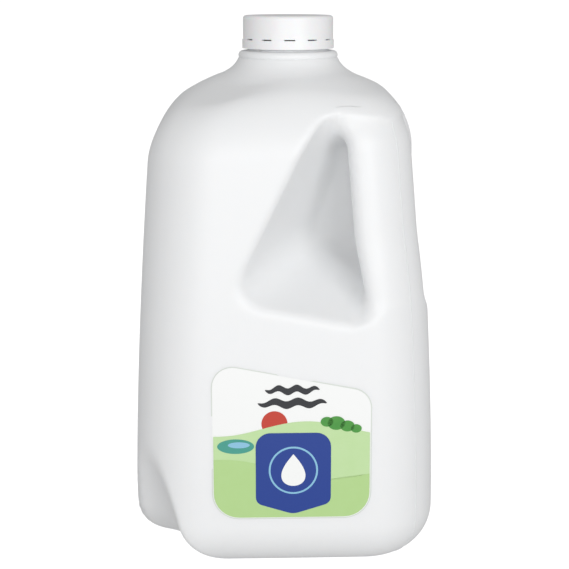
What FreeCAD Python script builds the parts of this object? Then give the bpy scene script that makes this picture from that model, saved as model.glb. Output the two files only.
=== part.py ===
"""One gallon blow-moulded milk jug with its snap cap and its front label.

Units are millimetres.  +Z is up and the jug stands on Z = 0, centred on the Z axis.
The label faces -Y.  The handle grows out of the corner between +X and -Y, and the
jug is mirror-symmetric about the upright plane through that corner (the mould's
parting plane), in which r is the distance from the Z axis towards the handle.
"""

import FreeCAD, Part
import math
import os
import Sketcher

V = FreeCAD.Vector
UP = V(0, 0, 1)
ALONG = V(1, -1, 0).normalize()  # towards the handle, in the parting plane
ACROSS = V(1, 1, 0).normalize()  # square to the parting plane

doc = FreeCAD.newDocument("MilkJug")

# ---------------------------------------------------------------- driving sizes

SIZES = {
    # body
    "body_width": (148, "across the flats, where the foot's round ends"),
    "corner_round": (34, "plan radius of the four upright corners"),
    "foot_round": (24, "radius between the sides and the base"),
    "waist_height": (104, "where the sides start to lean in more"),
    "waist_inset": (2.2, "lean of the lower sides, foot to waist"),
    "side_height": (202, "where the straight sides end"),
    "side_inset": (8.4, "lean of the whole side, foot to shoulder"),
    "shoulder_round": (28, "radius between the sides and the shoulder cone"),
    "shoulder_turn": (60, "degrees that this radius turns through"),
    "cone_corner": (0.94, "corner radius over half width, at the foot of the cone"),
    "cone_shift": (0.5, "share of the neck's shift that the cone's foot has"),
    "neck_offset": (3, "the neck's shift in +X and in -Y"),
    # ridge of the shoulder, which carries the handle
    "ridge_height": (242, "top of the ridge, at the neck"),
    "ridge_inset": (10, "lean of the ridge's panels above the straight sides"),
    "ridge_fall": (23, "degrees that the ridge falls towards the handle"),
    "flank_fall_side": (24, "degrees that the ridge's flank falls away from the handle"),
    "flank_fall_front": (18, "degrees that the flank falls towards the panel"),
    "ridge_spare": (1, "how far the block under the roof reaches above the roof's top"),
    # neck and neck finish
    "neck_radius": (23.6, "neck below the bead"),
    "neck_skirt": (0.4, "how far the cone's top stands outside the neck"),
    "neck_corner": (0.97, "corner radius over half width, at the top of the cone"),
    "bead_radius": (24.7, "outside of the bead"),
    "bead_thickness": (4.2, "height of the bead"),
    "bead_height": (245.6, "middle of the bead"),
    "bead_groove": (0.3, "height of the small cone under the bead"),
    "finish_radius": (19.6, "spout inside the cap"),
    # cap
    "cap_radius": (22.4, "outside of the cap's skirt"),
    "cap_height": (16, "skirt and top together"),
    "cap_top": (2, "thickness of the cap's top"),
    "cap_round": (1.6, "round on the cap's top rim"),
    "cap_clearance": (0.35, "between the cap and the spout, all round"),
    "cap_lift": (1.2, "gap between the bead and the cap"),
    "band_height": (4.2, "tamper band below the slits"),
    "band_proud": (0.35, "how far the band stands out of the skirt"),
    "slit_count": (12, "slits between skirt and band"),
    "slit_height": (0.6, "height of a slit"),
    "slit_share": (0.45, "share of the skirt's turn that is slit"),
    "slit_spare": (2, "how far a slit's cutter stands out of the skirt"),
    # finger hole and the hollow that leads to it
    "hole_reach": (25, "r of the body's wall in the hole, at hole_mid"),
    "hole_mid": (165, "height that hole_reach belongs to"),
    "hole_floor": (144, "height of the hollow's floor, at hole_floor_reach"),
    "hole_floor_reach": (41, "r that hole_floor belongs to"),
    "hole_roof": (213, "height of the hollow's roof, at hole_roof_reach"),
    "hole_roof_reach": (45, "r that hole_roof belongs to"),
    "wall_lean": (0.40, "r that the wall gains for each unit of height"),
    "wall_flare": (0.26, "r that the wall gains for each unit away from the plane"),
    "floor_fall": (0.50, "height that the floor loses for each unit of r"),
    "floor_flare": (0.23, "height that it loses for each unit away from the plane"),
    "roof_rise": (0.40, "height that the roof gains for each unit of r"),
    "roof_flare": (0.35, "height that it gains for each unit away from the plane"),
    "hole_round": (9, "round between the hollow's wall and its floor and roof"),
    "hollow_reach": (130, "r that the hollow's cutter ends at"),
    "hollow_away": (95, "how far the cutter reaches away from the parting plane"),
    # handle, an oval tube
    "handle_depth": (23, "across the tube, in the parting plane"),
    "handle_width": (38, "across the tube, square to the parting plane"),
    "handle_root_reach": (20, "r of the tube's start under the neck"),
    "handle_root_height": (229, "height of that start"),
    "handle_top_reach": (61, "r of the tube's corner at the top"),
    "handle_top_height": (215, "height of that corner"),
    "handle_top_bend": (16, "radius of the bend there"),
    "handle_grip_reach": (67, "r of the grip's lower end"),
    "handle_grip_height": (162, "height of the grip's lower end"),
    "handle_grip_bend": (60, "radius of the bend there"),
    "handle_foot_reach": (82, "r of the tube's lower end"),
    "handle_foot_height": (106, "height of that end, inside the body"),
    # notch in the base at the two corners next to the handle's, an oval bite
    "notch_depth": (25, "half its size square to its long way"),
    "notch_width": (100, "its whole long way"),
    "notch_height": (58, "up from the base"),
    "notch_inset": (0, "its middle, in from the side face"),
    "notch_setback": (4, "its middle, back from the label's face"),
    "notch_turn": (0, "degrees that it is turned towards the label's face"),
    # label
    "label_thickness": (0.3, "printed film"),
    "label_left": (36, "from the middle to the left edge"),
    "label_right": (40.5, "from the middle to the right edge"),
    "label_bottom": (28.5, "height of the lower edge"),
    "label_top_left": (106, "height of the upper left corner"),
    "label_top_right": (91.5, "height of the upper right corner"),
    "label_round": (13, "round of the lower corners"),
    "label_round_top": (10, "round of the upper corners"),
}

sheet = doc.addObject("Spreadsheet::Sheet", "Sizes")
for row, (alias, (value, meaning)) in enumerate(SIZES.items(), start=1):
    sheet.set("A%d" % row, str(value))
    sheet.set("B%d" % row, meaning)
    sheet.setAlias("A%d" % row, alias)
doc.recompute()


def size(alias):
    """The value of one cell of the sheet."""
    return float(sheet.get(alias))


def bind(thing, **expressions):
    """Binds properties to the sheet; a double underscore in a name stands for a dot."""
    for name, expression in expressions.items():
        thing.setExpression(name.replace("__", "."), expression)
    return thing


def add(kind, label, **expressions):
    """Adds a Part object whose sizes are expressions."""
    return bind(doc.addObject(kind, label), **expressions)


def fuse(label, *shapes):
    """Joins several objects into one."""
    joined = doc.addObject("Part::MultiFuse", label)
    joined.Shapes = list(shapes)
    joined.Refine = True
    return joined


def cut(label, base, tool):
    """Takes one object out of another."""
    left = doc.addObject("Part::Cut", label)
    left.Base = base
    left.Tool = tool
    return left


def mirrored(label, source):
    """The same object on the other side of the parting plane."""
    twin = doc.addObject("Part::Mirroring", label)
    twin.Source = source
    twin.Normal = ACROSS
    return twin


# ---------------------------------------------------------------- body sections

def rounded_square(label, height, half, corner, shift="0"):
    """A level rounded square: half its width, its corner radius and its shift are expressions."""
    sketch = doc.addObject("Sketcher::SketchObject", label)
    # Any rounded square will do to start with: the constraints then give it its size.
    wide = 60.0
    turn = 30.0
    flat = wide - turn
    for k in range(4):
        spin = FreeCAD.Rotation(UP, 90 * k)
        side = [spin.multVec(V(wide, y, 0)) for y in (-flat, flat)]
        sketch.addGeometry(Part.LineSegment(*side), False)
        circle = Part.Circle(spin.multVec(V(flat, flat, 0)), UP, turn)
        start = math.radians(90 * k)
        sketch.addGeometry(Part.ArcOfCircle(circle, start, start + math.pi / 2), False)
    for k in range(4):
        line, arc, next_line = 2 * k, 2 * k + 1, (2 * k + 2) % 8
        sketch.addConstraint(Sketcher.Constraint("Tangent", line, 2, arc, 1))
        sketch.addConstraint(Sketcher.Constraint("Tangent", arc, 2, next_line, 1))
        if k:
            sketch.addConstraint(Sketcher.Constraint("Equal", 1, arc))
    for line, lie in ((0, "Vertical"), (2, "Horizontal"), (4, "Vertical"), (6, "Horizontal")):
        sketch.addConstraint(Sketcher.Constraint(lie, line))
    named = (
        ("corner", Sketcher.Constraint("Radius", 1, turn), corner),
        ("right", Sketcher.Constraint("DistanceX", -1, 1, 0, 1, wide), half),
        ("back", Sketcher.Constraint("DistanceY", -1, 1, 2, 1, wide), half),
        ("left", Sketcher.Constraint("DistanceX", 4, 1, -1, 1, wide), half),
        ("front", Sketcher.Constraint("DistanceY", 6, 1, -1, 1, wide), half),
    )
    for name, constraint, expression in named:
        index = sketch.addConstraint(constraint)
        sketch.renameConstraint(index, name)
        sketch.setExpression("Constraints." + name, expression)
    return bind(
        sketch,
        Placement__Base__x=shift,
        Placement__Base__y="-(%s)" % shift,
        Placement__Base__z=height,
    )


def loft(label, sections):
    """A solid ruled from each section to the next."""
    solid = doc.addObject("Part::Loft", label)
    solid.Sections = sections
    solid.Solid = True
    solid.Ruled = True
    return solid


HALF = "Sizes.body_width / 2"
SIDE_TOP = "(%s - Sizes.side_inset)" % HALF

foot_sections = [
    rounded_square(
        "FootSection%d" % angle,
        "Sizes.foot_round * (1 - cos(%d deg))" % angle,
        "%s - Sizes.foot_round * (1 - sin(%d deg))" % (HALF, angle),
        "Sizes.corner_round - Sizes.foot_round * (1 - sin(%d deg))" % angle,
    )
    for angle in (0, 20, 40, 55, 70, 90)
]
waist_section = rounded_square(
    "WaistSection", "Sizes.waist_height", HALF + " - Sizes.waist_inset", "Sizes.corner_round"
)
side_section = rounded_square("SideSection", "Sizes.side_height", SIDE_TOP, "Sizes.corner_round")

# The shoulder's round, then its cone up to the neck.  The corners open out on the way,
# so that the last section is close to the neck's own circle.
CONE_HALF = "(%s - Sizes.shoulder_round * (1 - cos(Sizes.shoulder_turn * 1 deg)))" % SIDE_TOP


def shoulder_section(step):
    """One section of the shoulder's round: step runs from 0 at the side to 1 at the cone."""
    turn = "(%s * Sizes.shoulder_turn * 1 deg)" % step
    cone_corner = "Sizes.cone_corner * " + CONE_HALF
    corner = "Sizes.corner_round + %s * (%s - Sizes.corner_round)" % (step, cone_corner)
    return rounded_square(
        "ShoulderSection%d" % round(100 * step),
        "Sizes.side_height + Sizes.shoulder_round * sin%s" % turn,
        "%s - Sizes.shoulder_round * (1 - cos%s)" % (SIDE_TOP, turn),
        corner,
        "%s * Sizes.cone_shift * Sizes.neck_offset" % step,
    )


shoulder_sections = [shoulder_section(step) for step in (0.25, 0.5, 0.75, 1.0)]
NECK_HALF = "(Sizes.neck_radius + Sizes.neck_skirt)"
neck_section = rounded_square(
    "NeckSection",
    "Sizes.side_height + Sizes.shoulder_round * sin(Sizes.shoulder_turn * 1 deg)"
    " + (%s - %s) * tan(90 deg - Sizes.shoulder_turn * 1 deg)" % (CONE_HALF, NECK_HALF),
    NECK_HALF,
    "Sizes.neck_corner * " + NECK_HALF,
    "Sizes.neck_offset",
)
lower_body = loft("LowerBody", foot_sections + [waist_section, side_section])
shoulder = loft("Shoulder", [side_section] + shoulder_sections + [neck_section])

# ---------------------------------------------------------------- shoulder ridge

# A block that carries the panels beside the handle higher than the shoulder cone, under
# a roof of three planes: one falls towards the handle, one to each neighbouring corner.
ridge_section = rounded_square(
    "RidgeSection",
    "Sizes.ridge_height + Sizes.ridge_spare",
    SIDE_TOP + " - Sizes.ridge_inset",
    "Sizes.corner_round",
)
ridge_block = loft("RidgeBlock", [side_section, ridge_section])


def slab_under(label, point, normal):
    """A block, larger than the ridge, whose upper face holds the point, square to the normal."""
    across = 400.0
    deep = 120.0
    block = doc.addObject("Part::Box", label)
    block.Length = across
    block.Width = across
    block.Height = deep
    turn = FreeCAD.Rotation(UP, normal)
    corner = point + turn.multVec(V(-across / 2, -across / 2, -deep))
    block.Placement = FreeCAD.Placement(corner, turn)
    return block


def fall(alias):
    """The height lost for each unit of way, from an angle in the sheet."""
    return math.tan(math.radians(size(alias)))


neck_foot = V(size("neck_offset"), -size("neck_offset"), size("ridge_height"))
roof_handle = slab_under(
    "RoofHandle",
    neck_foot + ALONG * size("neck_radius"),
    (UP + ALONG * fall("ridge_fall")).normalize(),
)
roof_panel = slab_under(
    "RoofPanel",
    neck_foot + V(0, -2 * size("neck_radius"), 0),
    V(-fall("flank_fall_side"), -fall("flank_fall_front"), 1).normalize(),
)
roof_side = mirrored("RoofSide", roof_panel)
ridge_back = slab_under("RidgeBack", UP * size("side_height"), -ALONG)
ridge = doc.addObject("Part::MultiCommon", "Ridge")
ridge.Shapes = [ridge_block, roof_handle, roof_panel, roof_side, ridge_back]

# ---------------------------------------------------------------- neck

NECK_X = dict(Placement__Base__x="Sizes.neck_offset", Placement__Base__y="-Sizes.neck_offset")
CAP_FLOOR = "(Sizes.bead_height + Sizes.bead_thickness / 2 + Sizes.cap_lift)"

# The neck, its bead and the spout inside the cap are one turned shape.
bead_low = size("bead_height") - size("bead_thickness") / 2
bead_top = size("bead_height") + size("bead_thickness") / 2
bead_inside = size("bead_radius") - size("bead_thickness") / 2
cap_floor = bead_top + size("cap_lift")
spout_top = cap_floor + size("cap_height") - size("cap_top")
neck_inside = size("side_height") + size("shoulder_round") / 2


def profile(*points):
    """Straight edges through these (radius, height) points."""
    corners = [V(radius, 0, height) for radius, height in points]
    return [Part.LineSegment(a, b).toShape() for a, b in zip(corners, corners[1:])]


bead_arc = Part.Arc(
    V(bead_inside, 0, bead_low),
    V(size("bead_radius"), 0, size("bead_height")),
    V(bead_inside, 0, bead_top),
).toShape()
neck_profile = doc.addObject("Part::Feature", "NeckProfile")
neck_profile.Shape = Part.Wire(
    profile(
        (0, neck_inside), (size("neck_radius"), neck_inside),
        (size("neck_radius"), bead_low - size("bead_groove")), (bead_inside, bead_low),
    )
    + [bead_arc]
    + profile(
        (bead_inside, bead_top), (size("finish_radius"), bead_top),
        (size("finish_radius"), spout_top), (0, spout_top), (0, neck_inside),
    )
)
neck = doc.addObject("Part::Revolution", "Neck")
neck.Source = neck_profile
neck.Axis = UP
neck.Angle = 360
neck.Solid = True
bind(neck, **NECK_X)

# ---------------------------------------------------------------- handle

def in_plane(reach, height):
    """The point of the parting plane at this r and this height."""
    return ALONG * reach + UP * height


def rounded_path(points, radii):
    """Straight runs through the points, joined by tangent arcs of these radii."""
    edges, start = [], points[0]
    for before, at, after, radius in zip(points, points[1:], points[2:], radii):
        inward = (before - at).normalize()
        onward = (after - at).normalize()
        half = inward.getAngle(onward) / 2
        length = radius / math.tan(half)
        middle = at + (inward + onward).normalize() * radius * (1 / math.sin(half) - 1)
        edges.append(Part.LineSegment(start, at + inward * length).toShape())
        edges.append(Part.Arc(at + inward * length, middle, at + onward * length).toShape())
        start = at + onward * length
    edges.append(Part.LineSegment(start, points[-1]).toShape())
    return edges


handle_points = [
    in_plane(size("handle_%s_reach" % place), size("handle_%s_height" % place))
    for place in ("root", "top", "grip", "foot")
]
path = doc.addObject("Part::Feature", "HandlePath")
path.Shape = Part.Wire(
    rounded_path(handle_points, [size("handle_top_bend"), size("handle_grip_bend")])
)

# The oval lies square to the path, its long axis across the parting plane.
oval = add(
    "Part::Ellipse", "HandleOval",
    MajorRadius="Sizes.handle_width / 2", MinorRadius="Sizes.handle_depth / 2",
)
coming = (handle_points[1] - handle_points[0]).normalize()
oval.Placement = FreeCAD.Placement(
    handle_points[0], FreeCAD.Rotation(ACROSS, coming.cross(ACROSS), coming)
)
tube = doc.addObject("Part::Sweep", "HandleTube")
tube.Sections = [oval]
tube.Spine = (path, ["Edge%d" % k for k in range(1, len(path.Shape.Edges) + 1)])
tube.Solid = True
tube.Frenet = False

# ---------------------------------------------------------------- finger hollow

def hollow_outline(label, away):
    """The hollow's outline in a plane parallel to the parting plane, this far from it."""
    outer = size("hollow_reach")

    def wall(height):
        return (
            size("hole_reach") + size("wall_lean") * (height - size("hole_mid"))
            + size("wall_flare") * away
        )

    def floor(reach):
        return (
            size("hole_floor") - size("floor_fall") * (reach - size("hole_floor_reach"))
            - size("floor_flare") * away
        )

    def roof(reach):
        return (
            size("hole_roof") + size("roof_rise") * (reach - size("hole_roof_reach"))
            + size("roof_flare") * away
        )

    def corner(limit):
        """Where the wall meets the floor or the roof; both are straight lines."""
        low = wall(0) + size("wall_lean") * limit(0)
        slope = (limit(1) - limit(0)) * size("wall_lean")
        reach = low / (1 - slope)
        return in_plane(reach, limit(reach))

    points = [
        in_plane(outer, roof(outer)), corner(roof), corner(floor), in_plane(outer, floor(outer))
    ]
    edges = rounded_path(points, [size("hole_round")] * 2)
    edges.append(Part.LineSegment(points[-1], points[0]).toShape())
    outline = doc.addObject("Part::Feature", label)
    outline.Shape = Part.Wire(edges)
    outline.Placement = FreeCAD.Placement(ACROSS * -away, FreeCAD.Rotation())
    return outline


hollow_ends = [
    hollow_outline("HollowInside", 0.0),
    hollow_outline("HollowOutside", size("hollow_away")),
]
hollow = loft("Hollow", hollow_ends)
hollow_twin = mirrored("HollowTwin", hollow)

# ---------------------------------------------------------------- base notches

# The ellipsoid's poles are at its long ends, which lie outside the body.
notch = add(
    "Part::Ellipsoid", "Notch",
    Radius1="Sizes.notch_width / 2", Radius2="Sizes.notch_depth", Radius3="Sizes.notch_height",
    Placement__Base__x="Sizes.notch_inset - Sizes.body_width / 2",
    Placement__Base__y="Sizes.notch_setback - Sizes.body_width / 2",
)
notch_turn = FreeCAD.Rotation(UP, size("notch_turn"))
notch.Placement.Rotation = FreeCAD.Rotation(
    notch_turn.multVec(V(-1, 0, 0)), UP, notch_turn.multVec(V(0, 1, 0))
)
notch_twin = mirrored("NotchTwin", notch)

# ---------------------------------------------------------------- jug

hollows = fuse("Hollows", hollow, hollow_twin)
notches = fuse("Notches", notch, notch_twin)
body = fuse("Body", lower_body, shoulder, ridge)
pinched = cut("PinchedBody", body, hollows)
standing = cut("StandingBody", pinched, notches)
handle = doc.addObject("Part::MultiCommon", "Handle")
handle.Shapes = [tube, body]
jug = fuse("jug", standing, handle, neck)

# ---------------------------------------------------------------- cap

def cap_cylinder(label, radius, height, floor):
    """A cylinder on the neck's axis."""
    return add(
        "Part::Cylinder", label, Radius=radius, Height=height, Placement__Base__z=floor, **NECK_X
    )


cap_blank = cap_cylinder("CapBlank", "Sizes.cap_radius", "Sizes.cap_height", CAP_FLOOR)
doc.recompute()
cap_rim = doc.addObject("Part::Fillet", "CapRim")
cap_rim.Base = cap_blank
top_edges = [
    index
    for index, edge in enumerate(cap_blank.Shape.Edges, start=1)
    if abs(edge.BoundBox.ZMin - cap_blank.Shape.BoundBox.ZMax) < 0.01
]
cap_rim.Edges = [(index, size("cap_round"), size("cap_round")) for index in top_edges]
cap_band = cap_cylinder(
    "CapBand", "Sizes.cap_radius + Sizes.band_proud", "Sizes.band_height", CAP_FLOOR
)
cap_bore = cap_cylinder(
    "CapBore", "Sizes.finish_radius + Sizes.cap_clearance", "Sizes.cap_height - Sizes.cap_top",
    CAP_FLOOR,
)


slit_width = 2 * math.pi * size("cap_radius") * size("slit_share") / size("slit_count")
slit_middle = V(size("neck_offset"), -size("neck_offset"), cap_floor + size("band_height"))


def slit(turn):
    """One slit, cut right through the skirt just above the band, at this turn in degrees."""
    opening = add(
        "Part::Box", "Slit%03d" % turn,
        Length="Sizes.cap_radius + Sizes.slit_spare",
        Width="2 * pi * Sizes.cap_radius * Sizes.slit_share / Sizes.slit_count",
        Height="Sizes.slit_height",
    )
    facing = FreeCAD.Rotation(UP, turn)
    edge = facing.multVec(V(0, -slit_width / 2, 0))
    opening.Placement = FreeCAD.Placement(slit_middle + edge, facing)
    return opening


slit_count = int(size("slit_count"))
slits = fuse("Slits", *[slit(360 * k / slit_count) for k in range(slit_count)])
cap_shell = cut("CapShell", fuse("CapSolid", cap_rim, cap_band), cap_bore)
cap = cut("cap", cap_shell, slits)

# ---------------------------------------------------------------- label

# The front panel leans back by the waist's inset between the foot's round and the waist.
lean = math.atan2(size("waist_inset"), size("waist_height") - size("foot_round"))


def on_panel(x, height):
    """The point of the front panel at this x and this height."""
    back = (height - size("foot_round")) * math.tan(lean)
    return V(x, -size("body_width") / 2 + back, height)


def rounded_outline(corners):
    """A wire through the corners, each with its own radius, with arcs at the corners."""
    edges, ends = [], []
    count = len(corners)
    for k, (at, radius) in enumerate(corners):
        inward = (corners[k - 1][0] - at).normalize()
        onward = (corners[(k + 1) % count][0] - at).normalize()
        half = inward.getAngle(onward) / 2
        length = radius / math.tan(half)
        middle = at + (inward + onward).normalize() * radius * (1 / math.sin(half) - 1)
        ends.append((at + inward * length, middle, at + onward * length))
    for k, (start, middle, end) in enumerate(ends):
        edges.append(Part.Arc(start, middle, end).toShape())
        edges.append(Part.LineSegment(end, ends[(k + 1) % count][0]).toShape())
    return Part.Wire(edges)


label = doc.addObject("Part::Feature", "label")
label_outline = rounded_outline([
    (on_panel(-size("label_left"), size("label_bottom")), size("label_round")),
    (on_panel(size("label_right"), size("label_bottom")), size("label_round")),
    (on_panel(size("label_right"), size("label_top_right")), size("label_round_top")),
    (on_panel(-size("label_left"), size("label_top_left")), size("label_round_top")),
])
outward = V(0, -math.cos(lean), math.sin(lean))
label.Shape = Part.Face(label_outline).extrude(outward * size("label_thickness"))

# ---------------------------------------------------------------- check and write

NODES = {"jug": jug, "cap": cap, "label": label}
doc.recompute()
for thing in doc.Objects:
    if "Invalid" in thing.State or "Error" in thing.State:
        raise RuntimeError("%s did not build: %s" % (thing.Label, thing.State))
for name, node in NODES.items():
    if node.Shape.isNull() or not node.Shape.isValid():
        raise RuntimeError(name + " has no valid shape")
    if len(node.Shape.Solids) != 1:
        raise RuntimeError("%s has %d solids" % (name, len(node.Shape.Solids)))
os.makedirs("parts", exist_ok=True)
for name, node in NODES.items():
    node.Shape.exportStep("parts/%s.step" % name)
    box = node.Shape.optimalBoundingBox(False)
    print("%s %.0f mm3, %.1f x %.1f x %.1f mm" % (
        name, node.Shape.Volume, box.XLength, box.YLength, box.ZLength
    ))
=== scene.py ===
"""One gallon milk jug: blow-moulded bottle, snap cap and printed front label.

Metres, +Z up.  Shapes are worked out in millimetres and scaled once, on their way into
a mesh.  The label faces -Y and the handle is the corner between +X and -Y.  In the upright
plane through that corner (the mould's parting plane) r is the distance from the Z axis
towards the handle, and n is the distance square to the plane.
"""

import bpy
import math
import numpy as np
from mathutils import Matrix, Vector


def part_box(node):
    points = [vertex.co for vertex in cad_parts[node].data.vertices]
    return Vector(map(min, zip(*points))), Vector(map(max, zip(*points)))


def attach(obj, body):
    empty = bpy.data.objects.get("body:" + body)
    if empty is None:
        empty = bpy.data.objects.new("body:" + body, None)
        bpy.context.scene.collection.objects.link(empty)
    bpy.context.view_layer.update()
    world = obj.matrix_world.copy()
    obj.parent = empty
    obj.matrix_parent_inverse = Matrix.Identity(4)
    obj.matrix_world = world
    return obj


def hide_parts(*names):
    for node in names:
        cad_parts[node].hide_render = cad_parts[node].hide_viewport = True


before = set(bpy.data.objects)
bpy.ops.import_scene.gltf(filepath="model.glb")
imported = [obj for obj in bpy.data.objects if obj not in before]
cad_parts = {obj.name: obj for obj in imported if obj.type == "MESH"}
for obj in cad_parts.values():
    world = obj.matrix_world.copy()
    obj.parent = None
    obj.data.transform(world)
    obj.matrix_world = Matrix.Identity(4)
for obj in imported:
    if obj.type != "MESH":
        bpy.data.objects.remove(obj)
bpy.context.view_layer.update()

MM = 0.001
ROOT2 = math.sqrt(2.0)

# ---------------------------------------------------------------- sizes, from the frame

jug_low, jug_high = (np.array(corner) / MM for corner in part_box("jug"))
cap_low, cap_high = (np.array(corner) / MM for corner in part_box("cap"))
label_low, label_high = (np.array(corner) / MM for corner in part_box("label"))

HALF = (jug_high[0] - jug_low[0]) / 2
NECK_X, NECK_Y = (cap_low[:2] + cap_high[:2]) / 2
CAP_FOOT = cap_low[2]

# ---------------------------------------------------------------- sizes, millimetres

# Body.
FOOT_ROUND = 24.0
CORNER_ROUND = 35.0
SIDE_LEAN = 8.6        # how far a side leans in from the foot to SIDE_TOP
SIDE_TOP = 202.0
PANEL_CROWN = 0.7      # how far the middle of a panel bulges
CROWN_DROP = 0.3       # how far every panel is set back, so that the bulge stays in the box

# Shoulder: height lost for each unit of way out from the neck.
NECK_RADIUS = 23.5
SHOULDER_TOP = 244.0   # height at which the shoulder meets the neck
FLAT_FALL = 0.52
FLAT_FALL_GAIN = 0.0022
BESIDE_FALL = 0.36
BESIDE_RISE = 1.5
PARTING_FALL = 0.42
PARTING_RISE = 8.9
FLARE_FALL = 1.3
ROOF_SCALE = 0.87      # brings the height above the roof down to about the distance from it
SHOULDER_ROUND = 17.0

# Finger hollow: three planes that flare away from the parting plane.
FLARE_START = 3.0      # the flare sets in this smoothly
WALL_REACH, WALL_MID, WALL_LEAN, WALL_FLARE, WALL_SCALE = 25.0, 165.0, 0.40, 0.26, 1.11
FLOOR_HEIGHT, FLOOR_REACH, FLOOR_FALL, FLOOR_FLARE, FLOOR_SCALE = 144.0, 41.0, 0.50, 0.23, 1.14
ROOF_HEIGHT, ROOF_REACH, ROOF_RISE, ROOF_FLARE, HOLLOW_ROOF_SCALE = 213.0, 45.0, 0.40, 0.35, 1.13

# Handle: an oval tube along straight runs in the parting plane, as (r, z), with round bends.
HANDLE_CORNERS = [(20.0, 231.0), (63.0, 215.5), (69.5, 162.0), (85.0, 106.0)]
HANDLE_BENDS = [17.0, 70.0]
HANDLE_HALF_DEPTH = 11.5
HANDLE_HALF_WIDTH = 20.0

# Base notch: a cylinder that stands off the corner and leans out.
NOTCH_RADIUS = 33.4
NOTCH_AWAY = 107.0     # its axis from the Z axis, at NOTCH_HEIGHT
NOTCH_HEIGHT = 15.0
NOTCH_LEAN = 0.36
NOTCH_WAY_X, NOTCH_WAY_Y = -0.783, -0.622
NOTCH_SCALE = 1.06     # length of the field's slope, from the lean

# Neck finish.
GROOVE_DEPTH = 0.1
BEAD_HALF = 2.1        # half the bead's height, and the radius of its round
CAP_LIFT = 1.2         # gap between the bead and the cap
POST_FOOT = SIDE_TOP + 14.0
POST_TOP = CAP_FOOT - 5.6
SPOUT_RADIUS = 19.0


# ---------------------------------------------------------------- smooth joining of fields

def smooth_max(a, b, blend):
    """The larger of two fields, plus (blend - |a - b|) squared / (4 blend) where they are close."""
    near = np.maximum(blend - np.abs(a - b), 0.0)
    return np.maximum(a, b) + near * near / (4.0 * blend)


def smooth_min(a, b, blend):
    """The smaller of two fields, rounded as smooth_max rounds the larger."""
    return -smooth_max(-a, -b, blend)


def rounded_edge(a, b, radius):
    """Both fields' common inside, with the edge between them turned to an arc of this radius."""
    a_in, b_in = a + radius, b + radius
    outside = np.hypot(np.maximum(a_in, 0.0), np.maximum(b_in, 0.0))
    return np.minimum(np.maximum(a_in, b_in), 0.0) + outside - radius


# ---------------------------------------------------------------- the bottle's field

def side_half(z):
    """Half the body's width: HALF at the foot, less SIDE_LEAN times (height share) to 1.6."""
    share = np.clip((z - FOOT_ROUND) / (SIDE_TOP - FOOT_ROUND), 0.0, None)
    return HALF - SIDE_LEAN * share ** 1.6


def sides(x, y, z):
    """Distance to a rounded square of half width side_half, whose panels bulge as a cosine."""
    half = side_half(z)
    along = np.minimum(np.abs(x), np.abs(y))
    half = half + PANEL_CROWN * np.cos(0.5 * math.pi * np.clip(along / half, 0.0, 1.0)) - CROWN_DROP
    qx = np.abs(x) - (half - CORNER_ROUND)
    qy = np.abs(y) - (half - CORNER_ROUND)
    corner = np.hypot(np.maximum(qx, 0.0), np.maximum(qy, 0.0))
    return corner + np.minimum(np.maximum(qx, qy), 0.0) - CORNER_ROUND


def way_down(out):
    """Fall of a flat panel: FLAT_FALL times the way from the neck, plus a gain times its square."""
    way = np.maximum(out - NECK_RADIUS, 0.0)
    return FLAT_FALL * way + FLAT_FALL_GAIN * way * way


def shoulder_roof(x, y, z):
    """Height above the shoulder, which is eight panels round the neck.

    The four over the flat sides fall by way_down.  The two over the corners beside the handle
    are the flattest, and the two in the parting plane fall a little more.  The larger fall
    counts, and a short steep flare joins them all to the neck.
    """
    dx, dy = x - NECK_X, y - NECK_Y
    flats = smooth_max(way_down(np.abs(dx)), way_down(np.abs(dy)), 8.0)
    beside = BESIDE_FALL * np.abs(x + y) / ROOT2 - BESIDE_RISE
    parting = PARTING_FALL * np.abs(dx - dy) / ROOT2 - PARTING_RISE
    fall = smooth_max(smooth_max(flats, beside, 5.0), parting, 10.0)
    flare = FLARE_FALL * (np.hypot(dx, dy) - NECK_RADIUS)
    return (z - SHOULDER_TOP + smooth_min(fall, flare, 7.0)) * ROOF_SCALE


def base_notch(x, y, z):
    """Distance to the notch's cylinder: way from its leaning axis, less its radius."""
    away = NOTCH_AWAY + NOTCH_LEAN * (z - NOTCH_HEIGHT)
    out = np.hypot(x - NOTCH_WAY_X * away, y - NOTCH_WAY_Y * away)
    return (out - NOTCH_RADIUS) / NOTCH_SCALE


def envelope(x, y, z):
    """The body with no hollow and no neck; its foot is rounded in the notches as well."""
    wall = smooth_max(sides(x, y, z), -base_notch(x, y, z), 2.5)
    wall = smooth_max(wall, -base_notch(-y, -x, z), 2.5)
    wall = rounded_edge(wall, -z, FOOT_ROUND)
    return rounded_edge(wall, shoulder_roof(x, y, z), SHOULDER_ROUND)


def finger_hollow(r, n, z):
    """Distance into the hollow: a wall, a floor and a roof, each a plane that flares with |n|."""
    away = np.sqrt(n * n + FLARE_START ** 2) - FLARE_START
    wall = (WALL_REACH + WALL_LEAN * (z - WALL_MID) + WALL_FLARE * away - r) / WALL_SCALE
    floor = FLOOR_HEIGHT - FLOOR_FALL * (r - FLOOR_REACH) - FLOOR_FLARE * away
    roof = ROOF_HEIGHT + ROOF_RISE * (r - ROOF_REACH) + ROOF_FLARE * away
    rounded_top = smooth_max(wall, (z - roof) / HOLLOW_ROOF_SCALE, 10.0)
    return smooth_max(rounded_top, (floor - z) / FLOOR_SCALE, 16.0)


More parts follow.
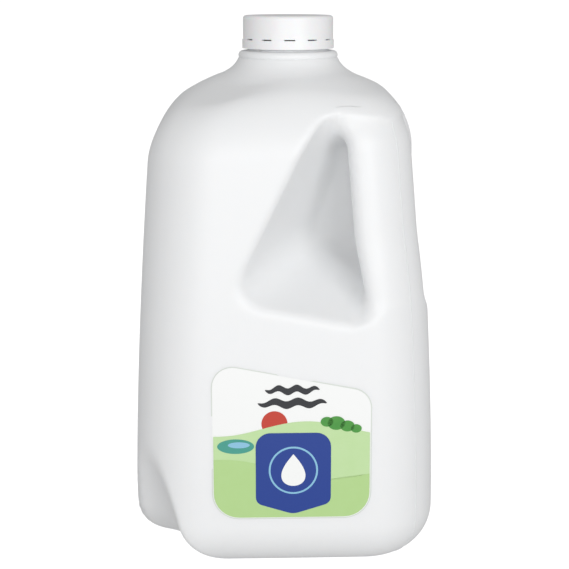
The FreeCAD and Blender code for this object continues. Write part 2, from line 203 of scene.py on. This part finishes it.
def corner_arc(before, at, after, radius, count):
    """Points of the arc that rounds the corner at a point, between the legs to its neighbours.

    The spokes from the arc's middle are, at a share of its angle, the first spoke times
    sin((1 - share) angle) plus the last times sin(share angle), over sin(angle).
    """
    inward = (before - at) / np.linalg.norm(before - at)
    onward = (after - at) / np.linalg.norm(after - at)
    half = math.acos(float(np.clip(inward @ onward, -1.0, 1.0))) / 2
    reach = radius / math.tan(half)
    middle = at + (inward + onward) / np.linalg.norm(inward + onward) * radius / math.sin(half)
    first = at + inward * reach - middle
    last = at + onward * reach - middle
    share = np.linspace(0.0, 1.0, count)[:, None]
    angle = math.pi - 2 * half
    spokes = np.sin((1 - share) * angle) * first + np.sin(share * angle) * last
    return middle + spokes / math.sin(angle)


def way_along(points):
    """The way along a line of points, from 0 at its first."""
    return np.concatenate(([0.0], np.cumsum(np.linalg.norm(np.diff(points, axis=0), axis=1))))


def points_at(points, way, at):
    """The points of a line at these ways along it."""
    return np.stack([np.interp(at, way, points[:, k]) for k in range(2)], axis=-1)


def arc_path(corners, radii, step=1.5):
    """Points along straight runs joined by tangent arcs, a step apart."""
    corners = np.array(corners, float)
    rounds = [
        corner_arc(before, at, after, radius, 12)
        for before, at, after, radius in zip(corners, corners[1:], corners[2:], radii)
    ]
    points = np.vstack([corners[:1], *rounds, corners[-1:]])
    way = way_along(points)
    return points_at(points, way, np.linspace(0.0, way[-1], int(way[-1] / step)))


HANDLE_PATH = arc_path(HANDLE_CORNERS, HANDLE_BENDS)


def handle_tube(r, n, z):
    """Distance to an oval tube along HANDLE_PATH: (d / depth, n / width) has length 1 on it."""
    nearest = np.full(r.shape, 1e9)
    starts, ends = HANDLE_PATH[:-1], HANDLE_PATH[1:]
    for (r0, z0), (r1, z1) in zip(starts, ends):
        run = max((r1 - r0) ** 2 + (z1 - z0) ** 2, 1e-9)
        share = np.clip(((r - r0) * (r1 - r0) + (z - z0) * (z1 - z0)) / run, 0.0, 1.0)
        near = (r - r0 - share * (r1 - r0)) ** 2 + (z - z0 - share * (z1 - z0)) ** 2
        nearest = np.minimum(nearest, near)
    distance = np.sqrt(nearest)
    size = np.hypot(distance / HANDLE_HALF_DEPTH, n / HANDLE_HALF_WIDTH)
    slope = np.hypot(distance / HANDLE_HALF_DEPTH ** 2, n / HANDLE_HALF_WIDTH ** 2)
    return size * (size - 1.0) / np.maximum(slope, 1e-3)


def neck_post(x, y, z):
    """Distance to the neck under the bead: a round post from inside the shoulder to the groove."""
    ends = np.maximum(z - POST_TOP, POST_FOOT - z)
    return np.maximum(np.hypot(x - NECK_X, y - NECK_Y) - NECK_RADIUS, ends)


def bottle(points):
    """The whole bottle's field at points of shape (count, 3), negative inside."""
    x, y, z = points.T
    r, n = (x - y) / ROOT2, (x + y) / ROOT2
    outer = envelope(x, y, z)
    body = smooth_max(outer, -finger_hollow(r, n, z), 3.0)
    grip = smooth_max(handle_tube(r, n, z), outer, 8.0)
    body = smooth_min(body, grip, 12.0)
    body = np.maximum(body, outer)
    return smooth_min(body, neck_post(x, y, z), 5.0)


def gradient(points, reach=0.05):
    """The field's slope at each point, from differences over a small reach."""
    steps = np.eye(3) * reach
    return np.stack([(bottle(points + s) - bottle(points - s)) / (2 * reach) for s in steps], -1)


def settle(points, turns):
    """Moves points onto the field's zero, by the field over its slope's square times its slope."""
    for _ in range(turns):
        slope = gradient(points)
        square = np.maximum((slope * slope).sum(1), 0.05)
        step = (bottle(points) / square)[:, None] * slope
        length = np.linalg.norm(step, axis=1, keepdims=True)
        points = points - step * np.minimum(1.0, 2.5 / np.maximum(length, 1e-9))
    return points


def even_out(points, edges):
    """Moves each point half way to the mean of its neighbours, as edges give them."""
    total = np.zeros_like(points)
    count = np.zeros(len(points))
    for a, b in ((0, 1), (1, 0)):
        for axis in range(3):
            total[:, axis] += np.bincount(edges[:, a], points[edges[:, b], axis], len(points))
        count += np.bincount(edges[:, a], minlength=len(points))
    return 0.5 * points + 0.5 * total / np.maximum(count, 1.0)[:, None]


# ---------------------------------------------------------------- meshes

def new_piece(name, points, faces, slot, material):
    """A mesh object from points in millimetres; it rides on the body.  Its slot argument is not
    used.
    """
    mesh = bpy.data.meshes.new(name)
    mesh.from_pydata((np.asarray(points, float) * MM).tolist(), [], [list(f) for f in faces])
    mesh.polygons.foreach_set("use_smooth", [True] * len(mesh.polygons))
    mesh.update()
    piece = bpy.data.objects.new(name, mesh)
    bpy.context.scene.collection.objects.link(piece)
    mesh.materials.append(material)
    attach(piece, "root")
    return piece


def grid_faces(rows, columns, closed=True):
    """Quads between neighbouring rows of a grid whose columns may close on themselves."""
    row = np.arange(rows - 1)[:, None]
    column = np.arange(columns if closed else columns - 1)[None, :]
    beside = (column + 1) % columns
    a, b = row * columns + column, row * columns + beside
    return np.stack([a, b, b + columns, a + columns], -1).reshape(-1, 4)


SKIN_GRAIN = 0.00155   # metres between the skin's points


def bottle_mesh(material):
    """The bottle: the frame's solid made an even skin, settled on the smooth field."""
    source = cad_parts["jug"]
    mesh = source.data.copy()
    rough = bpy.data.objects.new("rough_skin", mesh)
    bpy.context.scene.collection.objects.link(rough)
    weld = rough.modifiers.new("weld", "WELD")
    weld.merge_threshold = 0.00001
    skin = rough.modifiers.new("skin", "REMESH")
    skin.mode = "VOXEL"
    skin.voxel_size = SKIN_GRAIN
    depsgraph = bpy.context.evaluated_depsgraph_get()
    even = bpy.data.meshes.new_from_object(rough.evaluated_get(depsgraph))
    bpy.data.objects.remove(rough)

    points = np.zeros(len(even.vertices) * 3)
    even.vertices.foreach_get("co", points)
    points = points.reshape(-1, 3) / MM
    edges = np.zeros(len(even.edges) * 2, dtype=np.int32)
    even.edges.foreach_get("vertices", edges)
    edges = edges.reshape(-1, 2)
    points[:, 2] = np.minimum(points[:, 2], POST_TOP)
    points = settle(points, 6)
    for _ in range(4):
        points = settle(even_out(points, edges), 2)
    points = settle(points, 2)
    points[:, 2] = np.maximum(points[:, 2], 0.0)
    even.vertices.foreach_set("co", (points * MM).ravel())
    even.polygons.foreach_set("use_smooth", [True] * len(even.polygons))
    even.materials.clear()
    even.materials.append(material)
    even.update()
    piece = bpy.data.objects.new("bottle_skin", even)
    bpy.context.scene.collection.objects.link(piece)
    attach(piece, "root")
    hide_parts("jug")


def turned(name, profile, columns, slot, material):
    """A closed turned shape: each (radius, height) of the profile goes once round the neck."""
    profile = np.array(profile, float)
    angle = np.linspace(0.0, 2 * math.pi, columns, endpoint=False)
    radius, height = profile[:, 0, None], profile[:, 1, None]
    points = np.stack(
        [
            NECK_X + radius * np.cos(angle),
            NECK_Y + radius * np.sin(angle),
            height + 0.0 * angle,
        ],
        -1,
    ).reshape(-1, 3)
    faces = grid_faces(len(profile), columns)
    return new_piece(name, points, faces, slot, material)


def arc(middle, radius, first, last, count):
    """Points of an arc in the (radius, height) plane, from one angle to another in degrees."""
    angle = np.radians(np.linspace(first, last, count))
    return [(middle[0] + radius * math.cos(a), middle[1] + radius * math.sin(a)) for a in angle]


# ---------------------------------------------------------------- materials

def linear(hex_colour):
    """An sRGB hex colour as linear red, green, blue and full alpha."""
    channels = [int(hex_colour[k:k + 2], 16) / 255 for k in (0, 2, 4)]
    turn = [c / 12.92 if c <= 0.04045 else ((c + 0.055) / 1.055) ** 2.4 for c in channels]
    return (*turn, 1.0)


def node(tree, kind, settings=None, **links):
    """Adds a node; settings go to its properties or sockets and links name what feeds a socket."""
    added = tree.nodes.new(kind)
    for name, value in (settings or {}).items():
        if name in added.inputs:
            added.inputs[name].default_value = value
        else:
            setattr(added, name, value)
    for name, source in links.items():
        tree.links.new(source, added.inputs[name.replace("_", " ")])
    return added


def plastic(name, settings):
    """A material with a Principled shader, whose own sockets hold the constant values."""
    material = bpy.data.materials.new(name)
    material.use_nodes = True
    shader = material.node_tree.nodes["Principled BSDF"]
    for socket, value in settings.items():
        shader.inputs[socket].default_value = value
    return material, material.node_tree, shader


def blow_moulded_polyethylene():
    """Natural-white HDPE, blow moulded: satin, milky under the surface, with a faint orange peel.

    The skin copies a sand-blasted mould, so highlights are wide and soft.  The slow ripple of
    about 12 mm is the parison's uneven wall, and the peel has a grain of about 1 mm, drawn
    coarser than the real 0.3 mm so that it shows.
    """
    material, tree, shader = plastic("hdpe_blow_moulded_white", {
        "Base Color": linear("F4F5F6"),
        "Roughness": 0.42,
        "IOR": 1.54,
        "Subsurface Weight": 0.18,
        "Subsurface Scale": 0.004,
        "Subsurface Radius": (1.0, 0.95, 0.9),
    })
    place = node(tree, "ShaderNodeTexCoord")
    unevenness = node(
        tree, "ShaderNodeTexNoise", {"Scale": 1 / 0.012, "Detail": 1.0},
        Vector=place.outputs["Object"],
    )
    peel = node(
        tree, "ShaderNodeTexNoise", {"Scale": 1 / 0.001, "Detail": 2.0},
        Vector=place.outputs["Object"],
    )
    wave = node(
        tree, "ShaderNodeBump", {"Strength": 0.10, "Distance": 0.0004},
        Height=unevenness.outputs["Fac"],
    )
    grain = node(
        tree, "ShaderNodeBump", {"Strength": 0.08, "Distance": 0.00005},
        Height=peel.outputs["Fac"], Normal=wave.outputs["Normal"],
    )
    tree.links.new(grain.outputs["Normal"], shader.inputs["Normal"])
    return material


def injection_moulded_cap():
    """White HDPE, injection moulded: a little glossier than the bottle, with a spark grain.

    The grain is about 0.8 mm, drawn coarser than the real 0.4 mm so that it shows.
    """
    material, tree, shader = plastic("hdpe_injection_moulded_white", {
        "Base Color": linear("F6F6F7"),
        "Roughness": 0.36,
        "IOR": 1.54,
        "Subsurface Weight": 0.1,
        "Subsurface Scale": 0.002,
    })
    place = node(tree, "ShaderNodeTexCoord")
    grain = node(
        tree, "ShaderNodeTexNoise", {"Scale": 1 / 0.0008, "Detail": 2.0},
        Vector=place.outputs["Object"],
    )
    bump = node(
        tree, "ShaderNodeBump", {"Strength": 0.1, "Distance": 0.00004},
        Height=grain.outputs["Fac"],
    )
    tree.links.new(bump.outputs["Normal"], shader.inputs["Normal"])
    return material


def printed_film(name, hex_colour, second=None):
    """Polypropylene label film with flexographic ink: a flat even colour under a soft varnish.

    With a second colour the ink is mottled between the two, about 6 mm a patch.
    """
    material, tree, shader = plastic("pp_film_ink_" + name, {
        "Base Color": linear(hex_colour),
        "Roughness": 0.40,
        "IOR": 1.49,
        "Coat Weight": 0.12,
        "Coat Roughness": 0.25,
    })
    place = node(tree, "ShaderNodeTexCoord")
    cling = node(
        tree, "ShaderNodeTexNoise", {"Scale": 1 / 0.009, "Detail": 1.0},
        Vector=place.outputs["Object"],
    )
    bump = node(
        tree, "ShaderNodeBump", {"Strength": 0.06, "Distance": 0.0003},
        Height=cling.outputs["Fac"],
    )
    tree.links.new(bump.outputs["Normal"], shader.inputs["Normal"])
    if second:
        patch = node(
            tree, "ShaderNodeTexNoise", {"Scale": 1 / 0.006, "Detail": 2.0},
            Vector=place.outputs["Object"],
        )
        blend = node(tree, "ShaderNodeMix", {"data_type": "RGBA"})
        # Sockets 6, 7 and output 2 are the ones for colours; their names repeat.
        blend.inputs[6].default_value = linear(hex_colour)
        blend.inputs[7].default_value = linear(second)
        tree.links.new(patch.outputs["Fac"], blend.inputs[0])
        tree.links.new(blend.outputs[2], shader.inputs["Base Color"])
    return material


POLYETHYLENE = blow_moulded_polyethylene()
CAP_PLASTIC = injection_moulded_cap()

# ---------------------------------------------------------------- bottle

bottle_mesh(POLYETHYLENE)

# The neck finish above the shoulder: groove, round bead, and the step up under the cap.
bead_middle = CAP_FOOT - CAP_LIFT - BEAD_HALF
groove_radius = NECK_RADIUS - GROOVE_DEPTH
turned(
    "neck_bead",
    [(NECK_RADIUS - 3.0, CAP_FOOT - 8.0), (groove_radius, CAP_FOOT - 7.0),
     (groove_radius, bead_middle - 2.6)]
    + arc((NECK_RADIUS - 0.9, bead_middle), BEAD_HALF, -80, 80, 13)
    + [(NECK_RADIUS - 2.2, bead_middle + 2.25), (SPOUT_RADIUS, bead_middle + 2.3),
       (SPOUT_RADIUS, CAP_FOOT + 2.0)],
    160, "jug_plastic", POLYETHYLENE,
)

SEAM_MIDDLE = (12.0, 110.0)         # (r, z) that the seam is looked for round
SEAM_FIRST, SEAM_LAST = -96.0, 61.0  # degrees up from level, from under the foot to the neck
SEAM_HALF_WIDTH = 0.32
SEAM_PROUD = 0.22


def parting_line():
    """The mould's seam: a low round-topped rib along the bottle's outline in the parting plane.

    For each direction from the plane's middle the outline is found by halving between a point
    inside and one outside; the rib is an oval swept along the outline, half of it sunk in.
    """
    middle = np.array(SEAM_MIDDLE)
    angle = np.radians(np.linspace(SEAM_FIRST, SEAM_LAST, 420))
    way = np.stack([np.cos(angle), np.sin(angle)], -1)
    # From outside inwards, the first step that is inside.
    far = np.linspace(170.0, 20.0, 301)
    grid = middle + way[:, None, :] * far[None, :, None]
    r, z = grid[..., 0].ravel(), grid[..., 1].ravel()
    inside = bottle(np.stack([r / ROOT2, -r / ROOT2, z], -1)).reshape(grid.shape[:2]) < 0
    first = np.argmax(inside, axis=1)
    low, high = far[first], far[np.maximum(first - 1, 0)]
    for _ in range(20):
        half = 0.5 * (low + high)
        r, z = (middle + way * half[:, None]).T
        within = bottle(np.stack([r / ROOT2, -r / ROOT2, z], -1)) < 0
        low, high = np.where(within, half, low), np.where(within, high, half)
    outline = middle + way * low[:, None]
    run = np.gradient(outline, axis=0)
    run /= np.linalg.norm(run, axis=1, keepdims=True)
    out = np.stack([run[:, 1], -run[:, 0]], -1)
    turn = np.radians(np.linspace(0.0, 360.0, 12, endpoint=False))
    across, proud = SEAM_HALF_WIDTH * np.cos(turn), SEAM_PROUD * np.sin(turn)
    r = outline[:, None, 0] + out[:, None, 0] * proud
    z = outline[:, None, 1] + out[:, None, 1] * proud
    n = np.broadcast_to(across, r.shape)
    points = np.stack([(r + n) / ROOT2, (n - r) / ROOT2, z], -1).reshape(-1, 3)
    return points, grid_faces(len(outline), len(turn))


new_piece("parting_line", *parting_line(), "jug_plastic", POLYETHYLENE)

# ---------------------------------------------------------------- label

LABEL_LEFT, LABEL_RIGHT = label_low[0], label_high[0]
LABEL_BOTTOM = label_low[2]
LABEL_TOP_LEFT = LABEL_BOTTOM + 77.5
LABEL_TOP_RIGHT = LABEL_BOTTOM + 63.0
LABEL_FOOT_ROUND, LABEL_TOP_ROUND = 13.0, 10.0
EDGE_WIDTH = 0.5       # grey line round the label
BAND_INSET = 0.9       # the green bands stop this far from the label's edge
FILM = 0.07            # each printed layer stands this far out of the one below
FILM_BASE = 0.12       # how far the film's face stands out of the panel


def panel_front(x, z):
    """The front panel's y at a point of the label, from the body's own field by halving."""
    low = np.full(x.shape, -HALF - 6.0)
    high = np.full(x.shape, -HALF + 20.0)
    for _ in range(30):
        middle = 0.5 * (low + high)
        inside = envelope(x, middle, z) < 0
        low, high = np.where(inside, low, middle), np.where(inside, middle, high)
    return high


def outline_fan(outline, middle, rings=14):
    """A flat region as rings that shrink from its outline to its middle: (x, z) and faces."""
    share = np.linspace(1.0, 0.0, rings + 1)[:-1, None, None]
    points = middle + share * (outline - middle)
    flat = np.concatenate([points.reshape(-1, 2), [middle]])
    count = len(outline)
    faces = grid_faces(rings, count).tolist()
    last = (rings - 1) * count
    tip = rings * count
    faces += [[last + k, last + (k + 1) % count, tip] for k in range(count)]
    return flat, faces


def print_shape(name, outline, layer, material):
    """One printed colour: a region of the front panel, on a layer of its own over the film.

    The outline goes anticlockwise as (x, z), so that the faces point forwards.
    """
    flat, faces = outline_fan(outline, outline.mean(axis=0))
    x, z = flat.T
    y = panel_front(x, z) - FILM_BASE - FILM * layer
    return new_piece(name, np.stack([x, y, z], -1), faces, "label_film", material)


def rounded_corners(corners, radii):
    """A closed outline through the corners as (x, z), each turned to an arc of its radius."""
    corners = np.array(corners, float)
    before, after = np.roll(corners, 1, axis=0), np.roll(corners, -1, axis=0)
    return np.vstack([corner_arc(*leg, 9) for leg in zip(before, corners, after, radii)])


def densified(outline, step):
    """The closed outline with points a step apart, so that a shape follows the curved panel."""
    closed = np.vstack([outline, outline[:1]])
    way = way_along(closed)
    count = max(int(way[-1] / step), 24)
    return points_at(closed, way, np.linspace(0.0, way[-1], count, endpoint=False))


def label_outline(inset=0.0):
    """The label's outline, moved in all round by an inset; its top falls to the right."""
    left, right = LABEL_LEFT + inset, LABEL_RIGHT - inset
    foot, down = LABEL_BOTTOM + inset, 1.1 * inset
    corners = [
        (left, foot), (right, foot), (right, LABEL_TOP_RIGHT - down), (left, LABEL_TOP_LEFT - down)
    ]
    rounds = [LABEL_FOOT_ROUND, LABEL_FOOT_ROUND, LABEL_TOP_ROUND, LABEL_TOP_ROUND]
    return rounded_corners(corners, [radius - inset for radius in rounds])


def under(outline, height):
    """The part of a closed outline that lies under a line z = height(x), as one outline."""
    outline = densified(outline, 0.4)
    x = outline[:, 0]
    z = np.minimum(outline[:, 1], height(x))
    return np.stack([x, z], -1)


def ellipse(x, z, half_wide, half_tall, count=72):
    """An ellipse's outline."""
    angle = np.linspace(0.0, 2 * math.pi, count, endpoint=False)
    return np.stack([x + half_wide * np.cos(angle), z + half_tall * np.sin(angle)], -1)


def drop(x, z, tall, count=72):
    """A falling drop's outline: a circle times (1 - share of the way up) to the power 0.55."""
    angle = np.linspace(0.0, 2 * math.pi, count, endpoint=False)
    up = 0.5 - 0.5 * np.cos(angle)
    wide = 0.4836 * np.sin(angle) * (1.0 - up) ** 0.55
    return np.stack([x + tall * wide, z + tall * up], -1)


WHITE_FILM = printed_film("white", "FAFBFA")
EDGE_INK = printed_film("edge_grey", "DDE3DC")
LEAF_GREEN = printed_film("leaf_green", "B6D98F", "BADC96")
SPRING_GREEN = printed_film("spring_green", "C9E6AE", "C2E2A4")
BUSH_GREEN = printed_film("bush_green", "3E8F3C", "57A443")
TEAL = printed_film("teal", "3D9A8B", "4FA695")
NAVY = printed_film("navy", "1D3F94")
SKY = printed_film("sky_blue", "8EC6E2")
POPPY = printed_film("poppy_red", "C8402F")
CHARCOAL = printed_film("charcoal", "2C2E33")

film = print_shape("label_edge", label_outline(), 0, EDGE_INK)
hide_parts("label")
print_shape("label_white", label_outline(EDGE_WIDTH), 1, WHITE_FILM)


def far_swell(x):
    """The upper edge of the far green band: one long swell."""
    return LABEL_BOTTOM + 45.0 + 3.6 * np.sin((x + 12.0) / 13.5)


def near_swell(x):
    """The upper edge of the near green band: the other way, and lower."""
    return LABEL_BOTTOM + 25.0 - 5.0 * np.sin((x + 4.0) / 17.0)


print_shape("label_far_band", under(label_outline(BAND_INSET), far_swell), 3, SPRING_GREEN)
print_shape("label_near_band", under(label_outline(BAND_INSET), near_swell), 4, LEAF_GREEN)

# A row of round bushes stands on the far band at the right, and a teal pool lies at its left.
for k, (x, half) in enumerate([(19.0, 3.0), (23.5, 4.2), (28.8, 3.4), (33.0, 2.6)]):
    bush = ellipse(x, far_swell(x) + 0.2 * half, half, 0.8 * half)
    print_shape("label_bush_%d" % k, bush, 4, BUSH_GREEN)
print_shape("label_pool", ellipse(-24.5, LABEL_BOTTOM + 36.5, 8.8, 3.6), 4, TEAL)
print_shape("label_pool_light", ellipse(-23.0, LABEL_BOTTOM + 37.2, 5.2, 1.5), 5, SKY)

# A navy shield with a white drop in a pale ring takes the middle.
SHIELD_X, SHIELD_HALF = 3.0, 18.0
SHIELD_LEFT, SHIELD_RIGHT = SHIELD_X - SHIELD_HALF, SHIELD_X + SHIELD_HALF
RING_HEIGHT, RING_OUTER, RING_INNER = LABEL_BOTTOM + 24.5, 11.8, 10.9
shield = rounded_corners(
    [(SHIELD_LEFT, LABEL_BOTTOM + 8.0), (SHIELD_X, LABEL_BOTTOM + 2.5),
     (SHIELD_RIGHT, LABEL_BOTTOM + 8.0), (SHIELD_RIGHT, LABEL_BOTTOM + 43.0),
     (SHIELD_LEFT, LABEL_BOTTOM + 43.0)],
    [4.0, 9.0, 4.0, 7.0, 7.0],
)
print_shape("label_shield", densified(shield, 1.0), 5, NAVY)
print_shape("label_ring", ellipse(SHIELD_X, RING_HEIGHT, RING_OUTER, RING_OUTER), 6, SKY)
print_shape("label_disc", ellipse(SHIELD_X, RING_HEIGHT, RING_INNER, RING_INNER), 7, NAVY)
print_shape("label_drop", drop(SHIELD_X, LABEL_BOTTOM + 16.8, 15.8), 8, WHITE_FILM)

# A red sun rises behind the far band, under two dark ripples.
print_shape("label_sun", ellipse(-6.0, LABEL_BOTTOM + 47.5, 6.2, 6.2), 2, POPPY)


def ripple(name, middle_x, z, reach, thick, layer):
    """A printed stroke along three waves, whose ends narrow to a point."""
    x = np.linspace(-reach, reach, 61)
    rise = 0.9 * np.sin(x * math.pi * 3 / reach)
    half = 0.5 * thick * np.sqrt(np.maximum(1 - (x / reach) ** 2, 0.0))
    rows = np.stack([z + rise - half, z + rise, z + rise + half])
    flat_x = np.broadcast_to(middle_x + x, rows.shape)
    y = panel_front(flat_x.ravel(), rows.ravel()) - FILM_BASE - FILM * layer
    points = np.stack([flat_x.ravel(), y, rows.ravel()], -1)
    new_piece(name, points, grid_faces(3, len(x), closed=False), "label_film", CHARCOAL)


ripple("label_ripple_0", 2.5, LABEL_BOTTOM + 64.0, 13.0, 3.4, 2)
ripple("label_ripple_1", 2.5, LABEL_BOTTOM + 57.5, 16.5, 3.8, 2)

# ---------------------------------------------------------------- cap

cap_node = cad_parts["cap"]
cap_node.data.materials.clear()
cap_node.data.materials.append(CAP_PLASTIC)

# ---------------------------------------------------------------- floor, light, camera

AIR_LIGHT = 0.47       # strength of the light from all round
FLOOR_REACH_M = 20.0   # metres from the middle to the floor's edge


def pale_floor():
    """A white paper sweep that glows a little, so that it stays pale under the soft light."""
    material, tree, shader = plastic("paper_sweep", {
        "Base Color": linear("FFFFFF"),
        "Roughness": 0.9,
        "Emission Color": linear("FFFFFF"),
        "Emission Strength": 0.62,
    })
    reach = FLOOR_REACH_M
    mesh = bpy.data.meshes.new("floor")
    corners = [(-reach, -reach, 0), (reach, -reach, 0), (reach, reach, 0), (-reach, reach, 0)]
    mesh.from_pydata(corners, [], [(0, 1, 2, 3)])
    mesh.materials.append(material)
    floor = bpy.data.objects.new("floor", mesh)
    floor.visible_diffuse = False
    floor.visible_glossy = False
    bpy.context.scene.collection.objects.link(floor)


def studio_air():
    """An even grey light from all round, in front of a white that only the eye sees."""
    world = bpy.data.worlds.new("studio")
    world.use_nodes = True
    tree = world.node_tree
    background = tree.nodes["Background"]
    path = node(tree, "ShaderNodeLightPath")
    strength = node(
        tree, "ShaderNodeMapRange", {"To Min": AIR_LIGHT, "To Max": 1.0},
        Value=path.outputs["Is Camera Ray"],
    )
    background.inputs["Color"].default_value = linear("FFFFFF")
    tree.links.new(strength.outputs["Result"], background.inputs["Strength"])
    bpy.context.scene.world = world


def soft_box(name, place, target, size, watts):
    """A square area light at a place, turned to a target."""
    light = bpy.data.lights.new(name, "AREA")
    light.shape = "SQUARE"
    light.size = size
    light.energy = watts
    lamp = bpy.data.objects.new(name, light)
    lamp.location = place
    lamp.rotation_euler = (Vector(target) - Vector(place)).to_track_quat("-Z", "Y").to_euler()
    bpy.context.scene.collection.objects.link(lamp)


pale_floor()
studio_air()
bpy.context.scene.view_settings.view_transform = "Standard"
soft_box("front_box_right", (0.62, -1.40, 0.50), (0.0, 0.0, 0.12), 0.9, 8.0)
soft_box("front_box_left", (-0.35, -1.45, 0.40), (0.0, 0.0, 0.12), 0.9, 6.0)

CAMERA_DOWN, CAMERA_RIGHT = 12.4, 2.0   # degrees that the camera looks down and to the right
camera = bpy.data.cameras.new("camera")
camera.lens = 88.6
camera.sensor_width = 36.0
eye = bpy.data.objects.new("camera", camera)
eye.location = (-0.0234, -0.7086, 0.2835)
eye.rotation_euler = (math.radians(90 - CAMERA_DOWN), 0.0, math.radians(-CAMERA_RIGHT))
bpy.context.scene.collection.objects.link(eye)
bpy.context.scene.camera = eye
